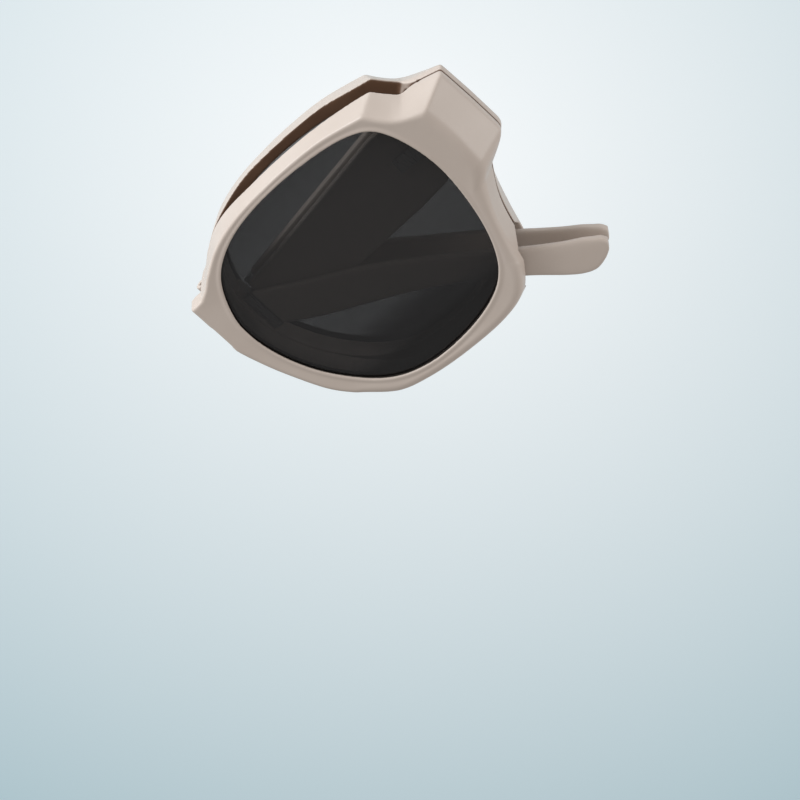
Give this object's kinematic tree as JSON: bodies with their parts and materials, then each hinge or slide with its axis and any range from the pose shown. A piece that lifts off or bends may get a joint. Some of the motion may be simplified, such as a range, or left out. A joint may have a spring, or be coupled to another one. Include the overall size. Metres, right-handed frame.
{
  "type": "folding sunglasses",
  "caption": "Folding sunglasses folded flat: front hinged at the bridge, tinted lenses outward, each temple folded at its middle and tucked behind its own lens.",
  "frame": {"origin": "middle of the underside of the folded pair's bounding box", "axes": "+X from the bridge pin to the end pieces, +Y towards the brow, +Z out of the front of the wearer's left half"},
  "size_m": [0.075, 0.0646, 0.019],
  "materials": {
    "frame": "satin moulded plastic, warm greige",
    "tint": "polished, near-black grey tint",
    "steel": "satin hinge metal"
  },
  "bodies": {
    "right_front": {"right_rim": "frame", "right_lens": "tint", "right_nose_pad": "frame", "right_root_hinge_frame_leaf": "steel", "right_root_hinge_screw": "steel", "bridge_pin": "steel"},
    "left_front": {"left_rim": "frame", "left_lens": "tint", "left_nose_pad": "frame", "left_root_hinge_frame_leaf": "steel", "left_root_hinge_screw": "steel"},
    "left_arm_front": {"left_temple_front": "frame", "left_root_hinge_temple_leaf": "steel", "left_mid_hinge_front_leaf": "steel", "left_mid_hinge_pin": "steel"},
    "left_arm_rear": {"left_temple_rear": "frame", "left_mid_hinge_rear_leaf": "steel"},
    "right_arm_front": {"right_temple_front": "frame", "right_root_hinge_temple_leaf": "steel", "right_mid_hinge_front_leaf": "steel", "right_mid_hinge_pin": "steel"},
    "right_arm_rear": {"right_temple_rear": "frame", "right_mid_hinge_rear_leaf": "steel"}
  },
  "joints": [
    {"name": "bridge_fold", "type": "hinge", "parent": "right_front", "child": "left_front", "pos_m": [-0.0347, 0.0144, 0.0095], "axis": [0, -1, 0], "range_deg": [0, 180]},
    {"name": "left_root_hinge", "type": "hinge", "parent": "left_front", "child": "left_arm_front", "pos_m": [0.0259, 0.0144, 0.0134], "axis": [0, -1, 0], "range_deg": [0, 1.2]},
    {"name": "right_root_hinge", "type": "hinge", "parent": "right_front", "child": "right_arm_front", "pos_m": [0.0259, 0.0144, 0.0056], "axis": [0, 1, 0], "range_deg": [0, 1.2]},
    {"name": "left_mid_hinge", "type": "hinge", "parent": "left_arm_front", "child": "left_arm_rear", "pos_m": [-0.0282, 0.0088, 0.01355], "axis": [0, -1, 0], "range_deg": [0, 1]},
    {"name": "right_mid_hinge", "type": "hinge", "parent": "right_arm_front", "child": "right_arm_rear", "pos_m": [-0.0282, 0.0088, 0.00545], "axis": [0, 1, 0], "range_deg": [0, 1]}
  ]
}
